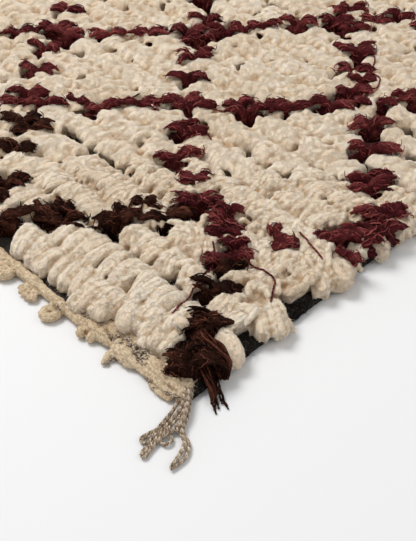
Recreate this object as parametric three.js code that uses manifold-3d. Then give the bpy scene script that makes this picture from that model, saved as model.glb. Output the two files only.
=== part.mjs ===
// Azilal rug: a hand-knotted wool rug lying flat, its deep cream pile crossed by a lattice of darker knots.
// The long sides are bound with goat hair, and the short ends carry a rolled cord with the warp's knotted ends.
// A tassel of twisted warp ends lies at each corner.
// Millimetres, +Z up. X runs across the rug, Y along its warp. The origin is the middle of the underside.
import * as THREE from "three";
import { mergeVertices } from "three/addons/utils/BufferGeometryUtils.js";
import Module from "manifold-3d";

// Driving dimensions.
const DIAMOND = 255; // one diamond of the lattice, corner to corner
const DIAMONDS_ACROSS = 4;
const DIAMONDS_ALONG = 6;
const WIDTH = DIAMONDS_ACROSS * DIAMOND; // over both bound sides
const LENGTH = DIAMONDS_ALONG * DIAMOND; // between the two end cords
const GAP = 0.3; // between pieces that touch on the real rug

// Heights above the floor. lump: how far the top varies. edgeDrop: how much lower the outermost tufts are.
const PILE = { top: 27, lump: 3, edgeDrop: 4, rim: 20, under: 10, steps: 8 }; // steps: squares to a diamond
// shift: where the second family of lattice lines passes the front right corner. trough: the dip along a line.
const LATTICE = { shift: -28, trough: 4, troughHalf: 18 };
// The flat top stops this far inside the sides and ends, and its lattice grows even over a share of the way.
const SHOULDER = { side: 10, end: 8, evenShare: 0.2 };
const BULGE = { out: 3, uneven: 2 }; // how far the pile's rim stands out over the bindings
const BRIM = { out: 1, uneven: 0 }; // the same at its underside
const LOCK = { pitch: 42, width: 24, height: 8, root: 20 };
// How far the rim's locks reach out, and how their places (mm), headings (radians) and reach (mm) vary.
const SIDE_LOCKS = { reach: 12, shift: 5, turn: 0.25, uneven: 3 };
const END_LOCKS = { reach: 7, shift: 4, turn: 0.2, uneven: 2 };

const SELVEDGE = { width: 26, height: 8, narrowing: 1, sinking: 0.5, spans: 30 };
const END_CORD = { width: 10, height: 9, sinking: 0.6, spans: 20 };
const STUB = { pitch: 36, length: 23, width: 15, height: 10, neck: 7, neckHeight: 5 };
const STUB_VARIES = { shift: 4, turn: 0.35, size: 0.18 }; // mm, radians, and a share of the size
// outward: degrees from the rug's end edge. flat: a strand's height to its width. tip: its width at its end.
const TASSEL = { length: 50, strand: 4.6, flat: 0.85, tip: 0.7, head: 12, headFlat: 0.8, outward: 64 };

// The weaver's hand: waves, in mm, by which the lattice wanders across and along, by up to a knot.
const WANDER = {
  across: [
    { size: 8, over: "y", length: 61, start: 0.9 },
    { size: 4, over: "x", length: 97, start: 0 },
  ],
  along: [
    { size: 7, over: "x", length: 71, start: 2 },
    { size: 4, over: "y", length: 89, start: 0 },
  ],
};

// One row of chance values for each thing that varies.
const ROW = {
  bulge: 7,
  sideShift: 11,
  sideTurn: 21,
  sideReach: 31,
  endShift: 41,
  endTurn: 51,
  endReach: 61,
  selvedgeWidth: 71,
  selvedgeHeight: 81,
  cordHeight: 91,
  stubShift: 101,
  stubTurn: 111,
  stubSize: 121,
};

// Sections of yarn and cord, in halves of their width and height. Each has a flat underside to lie on.
const SQUARE = [[-1, -1], [1, -1], [1, 1], [-1, 1]];
const RIDGE = [[-1, -1], [1, -1], [0, 1]];
const ROUND = [[0.6, -1], [1, 0], [0.6, 1], [-0.6, 1], [-1, 0], [-0.6, -1]];

const wasm = await Module();
wasm.setup();

// A number from -1 to 1 that is always the same for the same pair of whole numbers.
function chance(i, j) {
  const s = Math.sin(i * 127.1 + j * 311.7) * 43758.5453;
  return 2 * (s - Math.floor(s)) - 1;
}

const wool = (color, roughness) => new THREE.MeshStandardMaterial({ color, roughness, metalness: 0 });
const creamWool = wool("#d9cdb4", 0.95);
const goatHair = wool("#2a2726", 0.9);
const warpYarn = wool("#c4ae92", 0.9);

function toGeometry(points, faces) {
  const geometry = new THREE.BufferGeometry().setFromPoints(points);
  geometry.setIndex(faces);
  geometry.computeVertexNormals();
  return geometry;
}

// Makes one body of closed geometries that run into each other.
function join(geometries) {
  const solids = geometries.map((geometry) => {
    const bare = new THREE.BufferGeometry();
    bare.setAttribute("position", geometry.attributes.position);
    bare.setIndex(geometry.index);
    const merged = mergeVertices(bare, 1e-4);
    const vertProperties = new Float32Array(merged.attributes.position.array);
    const triVerts = new Uint32Array(merged.index.array);
    return new wasm.Manifold(new wasm.Mesh({ numProp: 3, vertProperties, triVerts }));
  });
  const mesh = solids.reduce((whole, solid) => whole.add(solid)).getMesh();
  const points = [];
  for (let n = 0; n < mesh.numVert; n++) {
    points.push(new THREE.Vector3().fromArray(mesh.vertProperties, n * mesh.numProp));
  }
  return toGeometry(points, [...mesh.triVerts]);
}

// A section of a strand that heads `heading` in plan, with its underside at height `base`.
function section(outline, { x, y, base, heading, width, height }) {
  return outline.map(([side, up]) => {
    const across = (side * width) / 2;
    const z = base + ((up + 1) * height) / 2;
    return new THREE.Vector3(x - Math.sin(heading) * across, y + Math.cos(heading) * across, z);
  });
}

// A closed body through sections that all have the same number of corners, with a flat cap on each end.
function loft(rings) {
  const sides = rings[0].length;
  const last = (rings.length - 1) * sides;
  const faces = [];
  for (let start = 0; start < last; start += sides) {
    for (let s = 0; s < sides; s++) {
      const a = start + s;
      const b = start + ((s + 1) % sides);
      faces.push(a, b, b + sides, a, b + sides, a + sides);
    }
  }
  for (let s = 1; s + 1 < sides; s++) {
    faces.push(0, s + 1, s, last, last + s, last + s + 1);
  }
  return toGeometry(rings.flat(), faces);
}

function wander(x, y) {
  const place = { x, y };
  const wave = ({ size, over, length, start }) => size * Math.sin(place[over] / length + start);
  const total = (waves) => waves.reduce((sum, each) => sum + wave(each), 0);
  return { across: total(WANDER.across), along: total(WANDER.along) };
}

// How far a place lies from each family of lattice lines, which run corner to corner through the diamonds.
function toLattice(x, y) {
  const fromSide = x - WIDTH / 2;
  const fromEnd = y + LENGTH / 2;
  const nearest = (value) => Math.abs(value - DIAMOND * Math.round(value / DIAMOND)) / Math.SQRT2;
  return { falling: nearest(fromSide + fromEnd), rising: nearest(fromSide - fromEnd - LATTICE.shift) };
}

// Pile and ground as one lumpy slab, flat underneath. Its rim hangs out over the bindings.
function fieldSlab() {
  const across = DIAMONDS_ACROSS * PILE.steps;
  const along = DIAMONDS_ALONG * PILE.steps;
  const shoulder = { x: WIDTH / 2 - SHOULDER.side, y: LENGTH / 2 - SHOULDER.end };
  const place = (i, j) => ({ u: (2 * i) / across - 1, v: (2 * j) / along - 1 });
  const points = [];
  const faces = [];
  const addPoint = (x, y, z) => points.push(new THREE.Vector3(x, y, z)) - 1;

  for (let i = 0; i <= across; i++) {
    for (let j = 0; j <= along; j++) {
      const { u, v } = place(i, j);
      const x = u * shoulder.x;
      const y = v * shoulder.y;
      const lattice = toLattice(x, y);
      const valley = Math.exp(-((Math.min(lattice.falling, lattice.rising) / LATTICE.troughHalf) ** 2));
      const fromRim = Math.min(1 - Math.abs(u), 1 - Math.abs(v));
      const inside = Math.min(1, fromRim / SHOULDER.evenShare);
      const drop = inside === 0 ? PILE.edgeDrop : 0;
      const shift = wander(x, y);
      const z = PILE.top + PILE.lump * chance(i, j) - LATTICE.trough * valley - drop;
      addPoint(x + shift.across * inside, y + shift.along * inside, z);
    }
  }
  // The diagonal of each square follows the lattice line that passes nearest.
  const top = (i, j) => i * (along + 1) + j;
  for (let i = 0; i < across; i++) {
    for (let j = 0; j < along; j++) {
      const [a, b, c, d] = [top(i, j), top(i + 1, j), top(i + 1, j + 1), top(i, j + 1)];
      const { u, v } = place(i + 0.5, j + 0.5);
      const lattice = toLattice(u * shoulder.x, v * shoulder.y);
      if (lattice.rising < lattice.falling) faces.push(a, b, c, a, c, d);
      else faces.push(a, b, d, b, c, d);
    }
  }

  // The four sides of the surface, each from corner to corner, going round the rug.
  const run = (count, at) => Array.from({ length: count + 1 }, (_, n) => at(n));
  const sides = [
    run(across, (n) => [n, 0]),
    run(along, (n) => [across, n]),
    run(across, (n) => [across - n, along]),
    run(along, (n) => [0, along - n]),
  ];
  // Rings below the surface's edge, with a point under each of its points. A corner belongs to two sides.
  const ringBelow = (rim, z) => {
    const known = new Map();
    return ([i, j]) => {
      const key = top(i, j);
      if (!known.has(key)) {
        const { u, v } = place(i, j);
        const out = rim.out + rim.uneven * chance(key, ROW.bulge);
        const x = (u * WIDTH) / 2 + (Math.abs(u) === 1 ? u * out : 0);
        const y = (v * LENGTH) / 2 + (Math.abs(v) === 1 ? v * out : 0);
        known.set(key, addPoint(x, y, z));
      }
      return known.get(key);
    };
  };
  const bulge = ringBelow(BULGE, PILE.rim);
  const brim = ringBelow(BRIM, PILE.under);
  const groundX = WIDTH / 2 - SELVEDGE.width - GAP;
  const corners = (x, y, z) => [[-x, -y], [x, -y], [x, y], [-x, y]].map(([px, py]) => addPoint(px, py, z));
  const groundTop = corners(groundX, LENGTH / 2, PILE.under);
  const ground = corners(groundX, LENGTH / 2, 0);
  sides.forEach((side, k) => {
    const next = (k + 1) % 4;
    const middle = Math.floor(side.length / 2);
    for (let n = 0; n + 1 < side.length; n++) {
      const edge = [top(...side[n]), top(...side[n + 1])];
      const belly = [bulge(side[n]), bulge(side[n + 1])];
      const lower = [brim(side[n]), brim(side[n + 1])];
      for (const [over, below] of [[edge, belly], [belly, lower]]) {
        faces.push(over[1], over[0], below[0], over[1], below[0], below[1]);
      }
      faces.push(lower[1], lower[0], groundTop[n < middle ? k : next]);
    }
    faces.push(brim(side[middle]), groundTop[k], groundTop[next]);
    faces.push(groundTop[next], groundTop[k], ground[k], groundTop[next], ground[k], ground[next]);
  });
  faces.push(ground[0], ground[2], ground[1], ground[0], ground[3], ground[2]);
  return toGeometry(points, faces);
}

// A lock of pile at the rim: rooted in the slab, lying outwards over the binding.
function lock(x, y, heading, reach) {
  const stations = [
    { out: -LOCK.root, lift: 2, size: 0.7 },
    { out: reach * 0.4, lift: 1.4, size: 1 },
    { out: reach, lift: 0.4, size: 0.6 },
  ];
  const rings = stations.map(({ out, lift, size }) => {
    const at = { x: x + Math.cos(heading) * out, y: y + Math.sin(heading) * out, base: PILE.under + lift };
    return section(RIDGE, { ...at, heading, width: size * LOCK.width, height: size * LOCK.height });
  });
  return loft(rings);
}

function rimLocks() {
  const locks = [];
  const lastOnSide = Math.floor(LENGTH / LOCK.pitch) - 2;
  const lastOnEnd = Math.floor(WIDTH / LOCK.pitch) - 2;
  for (const side of [-1, 1]) {
    for (let n = 0; n <= lastOnSide; n++) {
      const { reach, shift, turn, uneven } = SIDE_LOCKS;
      const y = (n - lastOnSide / 2) * LOCK.pitch + shift * chance(n, ROW.sideShift + side);
      const heading = (side > 0 ? 0 : Math.PI) + turn * chance(n, ROW.sideTurn + side);
      locks.push(lock((side * WIDTH) / 2, y, heading, reach + uneven * chance(n, ROW.sideReach + side)));
    }
  }
  for (const end of [-1, 1]) {
    for (let n = 0; n <= lastOnEnd; n++) {
      const { reach, shift, turn, uneven } = END_LOCKS;
      const x = (n - lastOnEnd / 2) * LOCK.pitch + shift * chance(n, ROW.endShift + end);
      const heading = (end * Math.PI) / 2 + turn * chance(n, ROW.endTurn + end);
      locks.push(lock(x, (end * LENGTH) / 2, heading, reach + uneven * chance(n, ROW.endReach + end)));
    }
  }
  return locks;
}

// The goat-hair binding of a long side, a flat-bottomed cord that is uneven on its outer face.
function selvedge(side) {
  const rings = [];
  for (let n = 0; n <= SELVEDGE.spans; n++) {
    const y = (n / SELVEDGE.spans - 0.5) * LENGTH;
    const width = SELVEDGE.width - SELVEDGE.narrowing * (1 + chance(n, ROW.selvedgeWidth + side));
    const x = side * (WIDTH / 2 - SELVEDGE.width + width / 2);
    const height = SELVEDGE.height - SELVEDGE.sinking * (1 + chance(n, ROW.selvedgeHeight + side));
    rings.push(section(ROUND, { x, y, base: 0, heading: Math.PI / 2, width, height }));
  }
  return loft(rings);
}

// A warp end knotted into a stub: a neck, a fat knot and a short loose tip, lying flat.
function stub(x, y, heading, size) {
  const stations = [
    { out: 0, width: STUB.neck, height: STUB.neckHeight },
    { out: 0.42, width: STUB.neck + 2, height: STUB.height * 0.8 },
    { out: 0.72, width: STUB.width, height: STUB.height },
    { out: 1, width: STUB.width * 0.5, height: STUB.height * 0.5 },
  ];
  const rings = stations.map(({ out, width, height }) => {
    const reach = out * STUB.length * size;
    const at = { x: x + Math.cos(heading) * reach, y: y + Math.sin(heading) * reach };
    return section(SQUARE, { ...at, base: 0, heading, width: width * size, height: height * size });
  });
  return loft(rings);
}

// The rolled cord that closes an end of the rug, with its row of knotted warp ends.
function endCord(end) {
  const reach = WIDTH / 2 - TASSEL.head - GAP;
  const y = end * (LENGTH / 2 + GAP + END_CORD.width / 2);
  const rings = [];
  for (let n = 0; n <= END_CORD.spans; n++) {
    const x = ((2 * n) / END_CORD.spans - 1) * reach;
    const height = END_CORD.height - END_CORD.sinking * (1 + chance(n, ROW.cordHeight + end));
    rings.push(section(ROUND, { x, y, base: 0, heading: 0, width: END_CORD.width, height }));
  }
  const last = Math.floor((2 * reach) / STUB.pitch) - 1;
  const stubs = [];
  for (let n = 0; n <= last; n++) {
    const x = (n - last / 2) * STUB.pitch + STUB_VARIES.shift * chance(n, ROW.stubShift + end);
    const heading = (end * Math.PI) / 2 + STUB_VARIES.turn * chance(n, ROW.stubTurn + end);
    stubs.push(stub(x, y, heading, 1 + STUB_VARIES.size * chance(n, ROW.stubSize + end)));
  }
  return join([loft(rings), ...stubs]);
}

// A corner tassel: the last warp ends, knotted together once and left to lie outwards on the floor.
function tassel(side, end) {
  const root = { x: side * (WIDTH / 2 - TASSEL.head / 2), y: end * (LENGTH / 2 + GAP + TASSEL.head / 2) };
  const outward = end * THREE.MathUtils.degToRad(side > 0 ? TASSEL.outward : 180 - TASSEL.outward);
  const knot = [
    { out: -0.45, girth: 0.5 },
    { out: -0.1, girth: 0.8 },
    { out: 0.3, girth: 0.75 },
    { out: 0.6, girth: 0.5 },
  ];
  const head = knot.map(({ out, girth }) => {
    const x = root.x + Math.cos(outward) * out * TASSEL.head;
    const y = root.y + Math.sin(outward) * out * TASSEL.head;
    const width = girth * TASSEL.head;
    return section(ROUND, { x, y, base: 0, heading: outward, width, height: width * TASSEL.headFlat });
  });
  // Where each strand sets out and how it bends on, in radians from the tassel's middle, negative towards
  // the end cord, and its share of the length.
  const strands = [
    { lean: -0.2, bend: -0.35, share: 0.82 },
    { lean: -0.08, bend: -0.12, share: 0.97 },
    { lean: 0.04, bend: 0.3, share: 0.6 },
    { lean: 0.16, bend: 0.1, share: 0.9 },
    { lean: 0.3, bend: 0.35, share: 1 },
  ];
  const turn = -side * end;
  const steps = 5;
  const bodies = strands.map(({ lean, bend, share }) => {
    const step = (TASSEL.length * share) / steps;
    const rings = [];
    let { x, y } = root;
    for (let n = 0; n <= steps; n++) {
      const heading = outward + turn * (lean + (bend * n) / steps);
      const thick = TASSEL.strand * (n === steps ? TASSEL.tip : 1);
      rings.push(section(SQUARE, { x, y, base: 0, heading, width: thick, height: thick * TASSEL.flat }));
      x += Math.cos(heading) * step;
      y += Math.sin(heading) * step;
    }
    return loft(rings);
  });
  return join([loft(head), ...bodies]);
}

const rug = new THREE.Group();
function add(name, geometry, material) {
  const mesh = new THREE.Mesh(geometry, material);
  mesh.name = name;
  rug.add(mesh);
}

add("pile_field", join([fieldSlab(), ...rimLocks()]), creamWool);
for (const [place, side] of [["left", -1], ["right", 1]]) {
  add("selvedge_" + place, selvedge(side), goatHair);
}
for (const [place, end] of [["front", -1], ["back", 1]]) {
  add("end_cord_" + place, endCord(end), warpYarn);
  add("tassel_" + place + "_left", tassel(-1, end), warpYarn);
  add("tassel_" + place + "_right", tassel(1, end), warpYarn);
}

export default rug;
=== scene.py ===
import math

import bpy
import numpy as np
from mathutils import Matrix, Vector
from mathutils.bvhtree import BVHTree
from mathutils.kdtree import KDTree


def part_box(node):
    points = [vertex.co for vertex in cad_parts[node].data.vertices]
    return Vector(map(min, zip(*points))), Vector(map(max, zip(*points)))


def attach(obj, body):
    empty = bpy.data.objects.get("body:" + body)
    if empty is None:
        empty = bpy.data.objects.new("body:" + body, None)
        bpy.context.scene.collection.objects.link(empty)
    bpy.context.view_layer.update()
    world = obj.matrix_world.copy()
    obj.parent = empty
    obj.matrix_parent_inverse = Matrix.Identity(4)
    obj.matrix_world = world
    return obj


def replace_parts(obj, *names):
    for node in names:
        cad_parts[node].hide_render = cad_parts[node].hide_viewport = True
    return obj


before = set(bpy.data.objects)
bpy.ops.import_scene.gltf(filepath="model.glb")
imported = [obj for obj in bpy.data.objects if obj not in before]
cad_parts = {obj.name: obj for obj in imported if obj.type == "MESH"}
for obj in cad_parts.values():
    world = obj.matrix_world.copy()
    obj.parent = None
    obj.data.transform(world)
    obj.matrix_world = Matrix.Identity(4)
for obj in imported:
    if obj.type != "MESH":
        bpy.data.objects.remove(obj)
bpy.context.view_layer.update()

# A hand-knotted azilal rug lying flat, seen from above its front right corner.
# Sizes are in millimetres, and meshFrom turns them to metres. Angles in dictionaries are in degrees.
mm = 0.001
bindingLow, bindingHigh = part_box("selvedge_right")
halfWidth, halfLength = bindingHigh.x / mm, bindingHigh.y / mm
bindingInner, bindingHeight = bindingLow.x / mm, bindingHigh.z / mm
lowest = 0.3  # no point of a skin lies lower than this
print("rug", round(2 * halfWidth), "by", round(2 * halfLength), "mm")


def placeObject(name, data):
    made = bpy.data.objects.new(name, data)
    bpy.context.collection.objects.link(made)
    return made


# Camera, where the photo was taken from: sizes from the rug's front right corner.
camera = {"right": 337.9, "front": 316.1, "height": 583.1, "down": 43.29, "turn": 45.2, "lens": 61.88}


def addCamera():
    eye = placeObject("camera", bpy.data.cameras.new("camera"))
    spot = (halfWidth + camera["right"], -halfLength - camera["front"], camera["height"])
    eye.location = Vector(spot) * mm
    eye.rotation_euler = (math.radians(90 - camera["down"]), 0, math.radians(camera["turn"]))
    eye.data.lens = camera["lens"]
    eye.data.sensor_width = 36
    eye.data.clip_start = 0.01
    eye.data.clip_end = 50
    bpy.context.scene.camera = eye


addCamera()


# A number's own random value from -1 to 1.
def scattered(number):
    s = np.sin(number) * 43758.5453
    return 2 * (s - np.floor(s)) - 1


# Smooth random values from -1 to 1 in patches about size mm across.
def patches(x, y, size, seed):
    left, low = np.floor(x / size), np.floor(y / size)
    u, v = x / size - left, y / size - low
    u, v = u * u * (3 - 2 * u), v * v * (3 - 2 * v)

    def corner(i, j):
        return scattered(i * 127.1 + j * 311.7 + seed * 74.7)

    near = corner(left, low) * (1 - u) + corner(left + 1, low) * u
    far = corner(left, low + 1) * (1 - u) + corner(left + 1, low + 1) * u
    return near * (1 - v) + far * v


# The same for points in space.
def patches3(points, size, seed):
    cell = np.floor(points / size)
    u = points / size - cell
    u = u * u * (3 - 2 * u)
    total = 0
    for i in (0, 1):
        for j in (0, 1):
            for k in (0, 1):
                at = cell + (i, j, k)
                number = at[:, 0] * 127.1 + at[:, 1] * 311.7 + at[:, 2] * 191.3 + seed * 74.7
                weight = np.abs((1 - i - u[:, 0]) * (1 - j - u[:, 1]) * (1 - k - u[:, 2]))
                total = total + weight * scattered(number)
    return total


def smooth(t):
    t = np.clip(t, 0, 1)
    return t * t * (3 - 2 * t)


# The level direction to the left of each heading, which is in radians.
def leftOf(heading):
    return np.stack([-np.sin(heading), np.cos(heading), np.zeros(len(heading))], 1)


# A random wave along each of n lines, as an angle, with low to high turns from end to end.
def waveAlong(s, n, low, high, dice):
    return 2 * np.pi * (s * dice.uniform(low, high, (n, 1)) + dice.random((n, 1)))


# Tubes along many lines at once. lines is (yarns, rings, 3), wide and thick are half sizes (yarns, rings),
# and side is the way each yarn's width points (yarns, 3).
def tubes(lines, wide, thick, side, corners, tone=None, rootShadeFade=None):
    count, rings = lines.shape[:2]
    along = np.gradient(lines, axis=1)
    step = np.linalg.norm(along, axis=2) + 1e-9
    along = along / step[..., None]
    across = side[:, None, :] - (side[:, None, :] * along).sum(2, keepdims=True) * along
    across /= np.linalg.norm(across, axis=2, keepdims=True) + 1e-9
    up = np.cross(along, across)
    angle = np.linspace(0, 2 * np.pi, corners, endpoint=False) - np.pi / 2
    flat, tall = wide[:, :, None] * np.cos(angle), thick[:, :, None] * np.sin(angle)
    points = lines[:, :, None] + flat[..., None] * across[:, :, None] + tall[..., None] * up[:, :, None]
    length = np.concatenate([np.zeros((count, 1)), np.cumsum(step[:, 1:], 1)], 1)
    number = np.arange(count)[:, None] * 7.3 + np.zeros((1, rings))
    tone = np.full(count, 0.5) if tone is None else tone
    # Painted shade: the finish darkens a tube where this runs low, towards the root.
    rootShadeFade = np.ones((count, rings)) if rootShadeFade is None else np.broadcast_to(rootShadeFade, (count, rings))
    ends = np.broadcast_to(length[..., None], flat.shape)
    yarn = np.stack([ends, flat + 0 * ends, tall + number[..., None]], -1)
    shade = np.zeros(points.shape)
    shade[..., 0] = tone[:, None, None]
    shade[..., 1] = rootShadeFade[:, :, None]
    core = {"at": lines, "along": along, "across": across, "up": up, "length": length, "number": number,
            "tone": tone[:, None] + 0 * number, "rootShadeFade": rootShadeFade}
    return {"points": points, "yarn": yarn, "shade": shade, "core": core}


# One skin from batches of tubes, each tube closed by a flat cap at both ends.
def skinOf(batches):
    points, yarn, shade, faces, totals = [], [], [], [], []
    start = 0
    for batch in batches:
        count, rings, corners = batch["points"].shape[:3]
        ids = np.arange(count * rings * corners).reshape(count, rings, corners) + start
        turned = np.roll(ids, -1, axis=2)
        quads = np.stack([ids[:, :-1], turned[:, :-1], turned[:, 1:], ids[:, 1:]], -1)
        caps = np.concatenate([ids[:, 0, ::-1], ids[:, -1]])
        faces += [quads.ravel(), caps.ravel()]
        totals += [np.full(quads.size // 4, 4), np.full(len(caps), corners)]
        points.append(batch["points"].reshape(-1, 3))
        yarn.append(batch["yarn"].reshape(-1, 3))
        shade.append(batch["shade"].reshape(-1, 3))
        start += ids.size
    points = np.concatenate(points)
    points[:, 2] = np.maximum(points[:, 2], lowest)
    return {"points": points, "faces": np.concatenate(faces), "totals": np.concatenate(totals),
            "yarn": np.concatenate(yarn), "shade": np.concatenate(shade)}


def meshFrom(name, skin):
    points, faces, totals = skin["points"], skin["faces"], skin["totals"]
    mesh = bpy.data.meshes.new(name)
    mesh.vertices.add(len(points))
    mesh.vertices.foreach_set("co", (points * mm).astype(np.float32).ravel())
    mesh.loops.add(len(faces))
    mesh.loops.foreach_set("vertex_index", faces.astype(np.int32))
    mesh.polygons.add(len(totals))
    mesh.polygons.foreach_set("loop_start", (np.cumsum(totals) - totals).astype(np.int32))
    for label, scale in (("yarn", mm), ("shade", 1)):
        if label in skin:
            attribute = mesh.attributes.new(label, "FLOAT_VECTOR", "POINT")
            attribute.data.foreach_set("vector", (skin[label] * scale).astype(np.float32).ravel())
    mesh.update(calc_edges=True)
    mesh.shade_smooth()
    return placeObject(name, mesh)


def addPiece(name, skin, material):
    piece = meshFrom(name, skin)
    piece.data.materials.append(material)
    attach(piece, "root")
    print(name, int((skin["totals"] - 2).sum()), "triangles")
    return piece


# The mean of each point's neighbours, over and over.
def relax(values, edges, times):
    count = len(values)
    degree = np.bincount(edges.ravel(), minlength=count)[:, None] + 1e-9
    for _ in range(times):
        total = np.empty(values.shape)
        for n in range(values.shape[1]):
            total[:, n] = (np.bincount(edges[:, 0], values[edges[:, 1], n], count)
                           + np.bincount(edges[:, 1], values[edges[:, 0], n], count))
        values = total / degree
    return values


# What the evaluated mesh of an object holds, in mm.
def arraysOf(piece):
    mesh = piece.evaluated_get(bpy.context.evaluated_depsgraph_get()).to_mesh()
    points, normals = np.empty((len(mesh.vertices), 3)), np.empty((len(mesh.vertices), 3))
    mesh.vertices.foreach_get("co", points.ravel())
    mesh.vertex_normals.foreach_get("vector", normals.ravel())
    edges = np.empty((len(mesh.edges), 2), int)
    mesh.edges.foreach_get("vertices", edges.ravel())
    faces, starts = np.empty(len(mesh.loops), int), np.empty(len(mesh.polygons), int)
    mesh.loops.foreach_get("vertex_index", faces)
    mesh.polygons.foreach_get("loop_start", starts)
    piece.to_mesh_clear()
    return {"points": points / mm, "normals": normals, "edges": edges, "faces": faces,
            "totals": np.diff(np.append(starts, len(faces)))}


# Melts tubes of wool into one soft skin, in cells of size mm and with no more than most triangles.
# Each of the curls, (share, wave), lifts small pillows wave mm across, and crimp raises a fine wave along the
# fibres. The skin keeps the run of the fibres in each lock.
def meltedSkin(batches, size, curls, most, crimp=0, soften=1):
    rough = meshFrom("rough", skinOf(batches))
    remesh = rough.modifiers.new("melt", "REMESH")
    remesh.mode = "VOXEL"
    remesh.voxel_size = size * mm
    melted = arraysOf(rough)
    bpy.data.objects.remove(rough)
    points, normals = relax(melted["points"], melted["edges"], soften), melted["normals"]
    for share, wave in curls:
        pillow = 3 * np.sqrt(patches3(points, wave, 4 + wave) ** 2 + 0.015) - 0.9
        points = points + normals * (share * pillow * smooth((points[:, 2] - 1) / 5))[:, None]
    melted["points"] = points
    smoothed = meshFrom("smoothed", melted)
    thin = smoothed.modifiers.new("thin", "DECIMATE")
    thin.ratio = min(1, most / int((melted["totals"] - 2).sum()))
    skin = arraysOf(smoothed)
    bpy.data.objects.remove(smoothed)
    points, normals, edges = skin["points"], skin["normals"], skin["edges"]

    # The nearest lock gives each point its tone and its place along the fibres.
    core = {}
    for key in ("at", "along", "across", "up", "length", "number", "tone", "rootShadeFade"):
        width = 3 if key in ("at", "along", "across", "up") else 1
        core[key] = np.concatenate([batch["core"][key].reshape(-1, width) for batch in batches])
    tree = KDTree(len(core["at"]))
    for n, at in enumerate(core["at"].tolist()):
        tree.insert(at, n)
    tree.balance()
    near = np.array([tree.find(point)[1] for point in points.tolist()])
    off = points - core["at"][near]
    along, across, up = ((off * core[way][near]).sum(1) for way in ("along", "across", "up"))
    yarn = np.stack([core["length"][near, 0] + along, across, up + core["number"][near, 0]], 1)

    if crimp:
        beat = np.sin(2 * np.pi * yarn[:, 0] / 7.5 + 3 * patches3(points, 22, 17))
        points = points + normals * (crimp * beat * smooth((points[:, 2] - 4) / 6))[:, None]

    # How far each point lies down in a crease. The finish darkens the creases by it, as painted shade.
    fine = ((relax(points, edges, 2) - points) * normals).sum(1)
    broad = ((relax(points, edges, 7) - points) * normals).sum(1)
    creaseShade = relax(np.clip(fine / (0.12 * size) + broad / (0.3 * size), -1, 3)[:, None] / 3, edges, 1)[:, 0]
    points[:, 2] = np.maximum(points[:, 2], lowest)
    tone = relax(core["tone"][near], edges, 2)[:, 0]
    skin["yarn"] = yarn
    skin["shade"] = np.stack([tone, core["rootShadeFade"][near, 0], np.clip(creaseShade, 0, 1)], 1)
    skin["along"] = core["along"][near]
    return skin


# Random places on a skin: the points, the normals, and the ways ahead and aside. Ahead keeps to the fibres,
# but for a spread.
def placesOn(skin, n, look, dice):
    allowed = (skin["points"][:, 2] > look["above"]) & (skin["normals"][:, 2] > look["facing"])
    chosen = dice.choice(np.flatnonzero(allowed), n)
    at, out, along = (skin[key][chosen] for key in ("points", "normals", "along"))
    ahead = along + look["spread"] * dice.normal(0, 1, (n, 3))
    ahead -= (ahead * out).sum(1, keepdims=True) * out
    ahead /= np.linalg.norm(ahead, axis=1, keepdims=True) + 1e-9
    return at, out, ahead, np.cross(out, ahead)


# Loose fibres along a skin. Each bends with the skin, and lifts off it by its own rise.
def strayTubes(skin, n, look, dice):
    at, out, ahead, side = placesOn(skin, n, look, dice)
    s = np.linspace(-0.5, 0.5, look["rings"])[None]
    reach = dice.uniform(*look["length"], (n, 1))
    rise = dice.uniform(*look["rise"], (n, 1)) * (1 + dice.normal(0, 1.2, (n, 1)) * s)
    rise = rise - (reach * s) ** 2 / look["bend"]
    beat = 2 * np.pi * (s * reach / dice.uniform(5, 9, (n, 1)) + dice.random((n, 1)))
    bow = dice.normal(0, 0.5, (n, 1)) * reach * s * s + look["curl"] * np.sin(beat)
    lines = (at[:, None] + ahead[:, None] * (reach * s)[..., None] + out[:, None] * rise[..., None]
             + side[:, None] * bow[..., None])
    half = look["radius"] * (1 - 1.3 * s * s) * dice.uniform(0.7, 1.3, (n, 1))
    return tubes(lines, half, half, side, 3, dice.uniform(*look["tones"], n))


# Fuzz on a skin: short straight fibres, each a spike on a small triangle.
def fuzzOf(skin, n, look, dice):
    at, out, ahead, side = placesOn(skin, n, look, dice)
    reach = dice.uniform(*look["length"], (n, 1))
    radius = look["radius"] * dice.uniform(0.7, 1.3, (n, 1))
    low = at - 0.25 * out
    tip = at + ahead * reach + out * dice.uniform(0.15, 1.3, (n, 1))
    points = np.stack([low - side * radius, low + side * radius, low + out * 1.8 * radius, tip], 1)
    points[..., 2] = np.maximum(points[..., 2], lowest)
    faces = np.arange(n)[:, None] * 4 + np.array([0, 1, 2, 0, 3, 1, 1, 3, 2, 2, 3, 0])
    ends = np.tile(np.array([0, 0, 0, 1.0])[None, :, None], (n, 1, 3))
    yarn = ends * reach[..., None] + 3 * np.arange(n)[:, None, None]
    shade = np.ones((n, 4, 3)) * (0, 1, 0)
    shade[..., 0] = dice.uniform(0.1, 1, (n, 1))
    return {"points": points.reshape(-1, 3), "faces": faces.ravel(), "totals": np.full(4 * n, 3),
            "yarn": yarn.reshape(-1, 3), "shade": shade.reshape(-1, 3)}


# Finishes.
def addNode(tree, kind, inputs=None, **settings):
    node = tree.nodes.new(kind)
    for key, value in settings.items():
        setattr(node, key, value)
    for key, value in (inputs or {}).items():
        if hasattr(value, "links"):
            tree.links.new(value, node.inputs[key])
        else:
            node.inputs[key].default_value = value
    return node
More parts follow.
